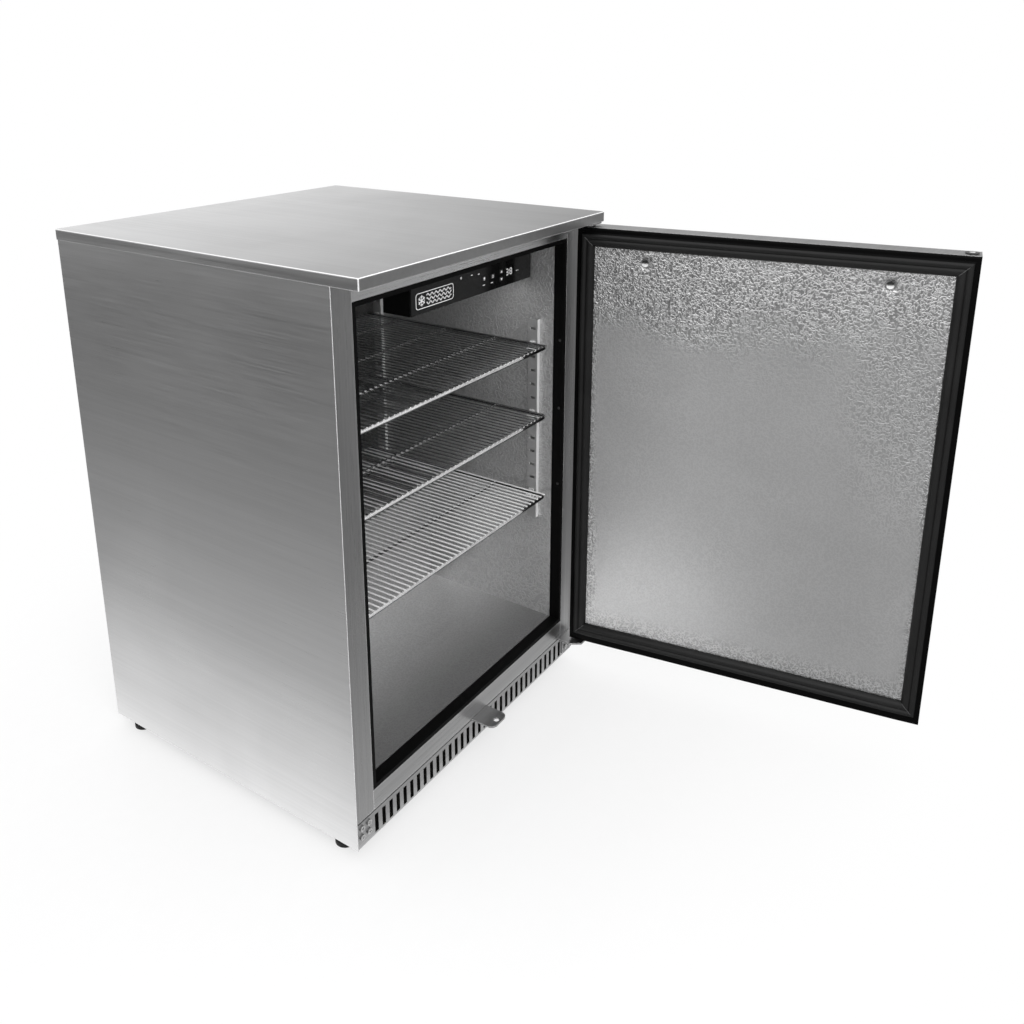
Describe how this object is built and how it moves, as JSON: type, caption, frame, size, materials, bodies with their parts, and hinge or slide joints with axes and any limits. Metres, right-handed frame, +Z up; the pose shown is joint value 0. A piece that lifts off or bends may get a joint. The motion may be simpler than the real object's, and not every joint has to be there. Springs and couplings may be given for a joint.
{
  "type": "undercounter refrigerator",
  "caption": "Stainless undercounter refrigerator with side-hung insulated door, sliding wire shelves, ceiling control box and rear machine compartment.",
  "frame": {"origin": "centre of the base pan's underside, the carcass datum; the four levelling feet reach 20 mm below it", "axes": "+Z up; the front with the door opening faces -Y; +X is the door's hinge side"},
  "size_m": [0.732, 1.1861, 0.857],
  "materials": {
    "stainless_brushed": "brushed",
    "galvanised": "matte galvanised sheet",
    "stucco_aluminium": "embossed stucco",
    "foam": "rigid polyurethane foam, matte",
    "black_plastic": "satin moulded",
    "gloss_black": "gloss",
    "lens": "frosted",
    "polished_steel": "polished",
    "shelf_wire": "bright wire",
    "gasket_rubber": "satin",
    "coil_aluminium": "thin fins",
    "compressor_paint": "gloss black enamel",
    "copper": "drawn copper tube"
  },
  "bodies": {
    "cabinet": {"worktop": "stainless_brushed", "side_panel_left": "stainless_brushed", "side_panel_right": "stainless_brushed", "header_rail": "stainless_brushed", "bottom_rail": "stainless_brushed", "back_panel": "galvanised", "machine_cover": "galvanised", "base_pan": "galvanised", "cabinet_foam": "foam", "inner_liner": "stucco_aluminium", "breaker_frame": "black_plastic", "grille_panel": "stainless_brushed", "lock_keeper": "stainless_brushed", "hinge_bracket_bottom": "stainless_brushed", "hinge_bracket_top": "stainless_brushed", "bracket_screws": "polished_steel", "control_housing": "black_plastic", "control_faceplate": "gloss_black", "display_window": "gloss_black", "light_lens": "lens", "pilasters_left": "polished_steel", "pilasters_right": "polished_steel", "shelf_clips": "polished_steel", "evaporator_cover": "galvanised", "evaporator_coil": "coil_aluminium", "evaporator_fan_motor": "black_plastic", "compressor": "compressor_paint", "compressor_mounts": "gasket_rubber", "relay_cover": "black_plastic", "condenser_coil": "coil_aluminium", "condenser_shroud": "galvanised", "condenser_fan_motor": "black_plastic", "refrigerant_lines": "copper", "filter_drier": "copper", "drip_tray": "galvanised", "power_cord": "black_plastic"},
    "door": {"door_skin": "stainless_brushed", "door_foam": "foam", "door_inner_panel": "stucco_aluminium", "door_gasket": "gasket_rubber", "door_handle": "polished_steel", "handle_bolts": "polished_steel", "lock_barrel": "polished_steel", "hinge_bushings": "black_plastic", "bushing_plugs": "black_plastic"},
    "lock_core": {"lock_core": "polished_steel"},
    "lock_bolt": {"lock_bolt": "polished_steel"},
    "shelf_upper": {"shelf_upper": "shelf_wire"},
    "shelf_middle": {"shelf_middle": "shelf_wire"},
    "shelf_lower": {"shelf_lower": "shelf_wire"},
    "evaporator_fan_blade": {"evaporator_fan_blade": "black_plastic"},
    "condenser_fan_blade": {"condenser_fan_blade": "black_plastic"},
    "button_up": {"button_up": "gloss_black"},
    "button_down": {"button_down": "gloss_black"},
    "button_light": {"button_light": "gloss_black"},
    "button_power": {"button_power": "gloss_black"},
    "foot_front_left": {"foot_front_left": "black_plastic"},
    "foot_front_right": {"foot_front_right": "black_plastic"},
    "foot_rear_left": {"foot_rear_left": "black_plastic"},
    "foot_rear_right": {"foot_rear_right": "black_plastic"}
  },
  "joints": [
    {"name": "door_swing", "type": "hinge", "parent": "cabinet", "child": "door", "pos_m": [0.2859, -0.301, 0.43], "axis": [0, 0, 1], "range_deg": [-99.26, 30.74]},
    {"name": "draw_shelf_upper", "type": "slide", "parent": "cabinet", "child": "shelf_upper", "axis": [0, -1, 0], "range_m": [0, 0.3]},
    {"name": "draw_shelf_middle", "type": "slide", "parent": "cabinet", "child": "shelf_middle", "axis": [0, -1, 0], "range_m": [0, 0.3]},
    {"name": "draw_shelf_lower", "type": "slide", "parent": "cabinet", "child": "shelf_lower", "axis": [0, -1, 0], "range_m": [0, 0.3]},
    {"name": "lock_turn", "type": "hinge", "parent": "door", "child": "lock_core", "pos_m": [0.33832, -0.58213, 0.071], "axis": [-0.987, -0.1609, 0], "range_deg": [0, 180]},
    {"name": "lock_throw", "type": "slide", "parent": "door", "child": "lock_bolt", "axis": [0, 0, -1], "range_m": [0, 0.01]},
    {"name": "press_button_up", "type": "slide", "parent": "cabinet", "child": "button_up", "axis": [0, 1, 0], "range_m": [0, 0.0008], "stiffness_N_per_m": 300},
    {"name": "press_button_down", "type": "slide", "parent": "cabinet", "child": "button_down", "axis": [0, 1, 0], "range_m": [0, 0.0008], "stiffness_N_per_m": 300},
    {"name": "press_button_light", "type": "slide", "parent": "cabinet", "child": "button_light", "axis": [0, 1, 0], "range_m": [0, 0.0008], "stiffness_N_per_m": 300},
    {"name": "press_button_power", "type": "slide", "parent": "cabinet", "child": "button_power", "axis": [0, 1, 0], "range_m": [0, 0.0008], "stiffness_N_per_m": 300},
    {"name": "spin_condenser_fan", "type": "hinge", "parent": "cabinet", "child": "condenser_fan_blade", "pos_m": [0.16, 0.141, 0.11], "axis": [0, 1, 0], "continuous": true},
    {"name": "spin_evaporator_fan", "type": "hinge", "parent": "cabinet", "child": "evaporator_fan_blade", "pos_m": [0, 0.179, 0.41], "axis": [0, 1, 0], "continuous": true},
    {"name": "turn_foot_front_left", "type": "hinge", "parent": "cabinet", "child": "foot_front_left", "pos_m": [-0.2755, -0.2295, 0.01], "axis": [0, 0, 1], "continuous": true},
    {"name": "turn_foot_front_right", "type": "hinge", "parent": "cabinet", "child": "foot_front_right", "pos_m": [0.2755, -0.2295, 0.01], "axis": [0, 0, 1], "continuous": true},
    {"name": "turn_foot_rear_left", "type": "hinge", "parent": "cabinet", "child": "foot_rear_left", "pos_m": [-0.2755, 0.2335, 0.01], "axis": [0, 0, 1], "continuous": true},
    {"name": "turn_foot_rear_right", "type": "hinge", "parent": "cabinet", "child": "foot_rear_right", "pos_m": [0.2755, 0.2335, 0.01], "axis": [0, 0, 1], "continuous": true}
  ],
  "couplings": [
    {"joint": "lock_throw", "follows": "lock_turn", "m_per_rad": 0.0031831}
  ]
}
